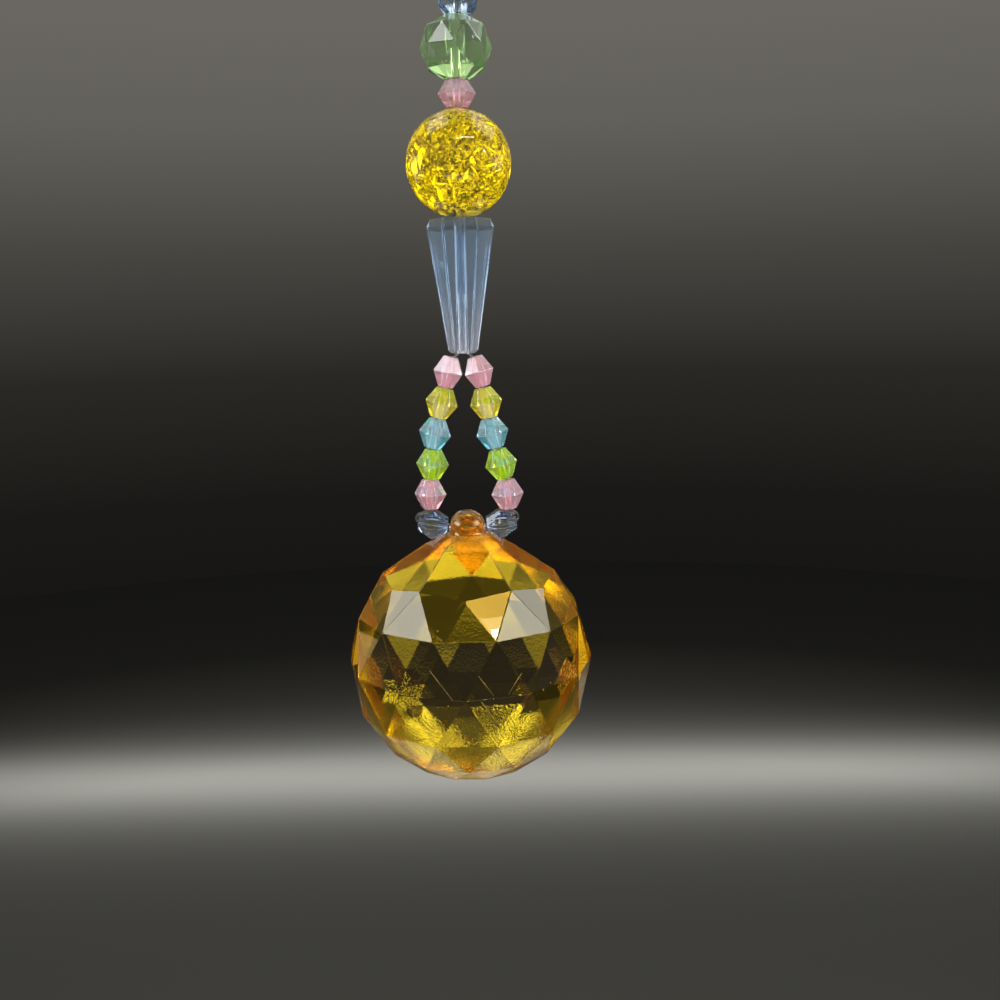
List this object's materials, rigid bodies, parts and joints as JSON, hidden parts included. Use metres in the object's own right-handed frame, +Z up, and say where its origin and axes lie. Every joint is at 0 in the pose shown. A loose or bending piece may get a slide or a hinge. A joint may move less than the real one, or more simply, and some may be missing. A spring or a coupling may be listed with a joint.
{
  "type": "crystal suncatcher",
  "caption": "Hanging ornament: a faceted amber glass ball with a drilled lug in a loop of small glass beads, under a tapered crystal and larger beads on one thread.",
  "frame": {"origin": "the inside of the top of the thread's hanging loop, where it bears on a hook", "axes": "+Z up along the hanging thread, +X to the right seen from the front, the bead loop lies in the XZ plane"},
  "size_m": [0.03, 0.03, 0.1027],
  "materials": {
    "thread": "clear nylon thread",
    "amber_glass": "polished facets",
    "crackle_glass": "smooth outside, cracked inside",
    "clear_blue_glass": "polished facets with a pale coating",
    "green_glass": "polished facets",
    "pink_glass": "polished facets with an iridescent coating",
    "yellow_glass": "polished facets with an iridescent coating",
    "aqua_glass": "polished facets with an iridescent coating",
    "lime_glass": "polished facets with an iridescent coating"
  },
  "bodies": {
    "root": {"hanging_thread": "thread", "clear_top_bead": "clear_blue_glass", "green_faceted_bead": "green_glass", "pink_bicone_bead": "pink_glass", "crackle_glass_bead": "crackle_glass", "tapered_crystal_bead": "clear_blue_glass", "left_strand_bead_1_pink": "pink_glass", "left_strand_bead_2_yellow": "yellow_glass", "left_strand_bead_3_aqua": "aqua_glass", "left_strand_bead_4_lime": "lime_glass", "left_strand_bead_5_pink": "pink_glass", "left_strand_bead_6_clear_blue": "clear_blue_glass", "right_strand_bead_1_pink": "pink_glass", "right_strand_bead_2_yellow": "yellow_glass", "right_strand_bead_3_aqua": "aqua_glass", "right_strand_bead_4_lime": "lime_glass", "right_strand_bead_5_pink": "pink_glass", "right_strand_bead_6_clear_blue": "clear_blue_glass", "crystal_ball": "amber_glass"}
  },
  "joints": []
}
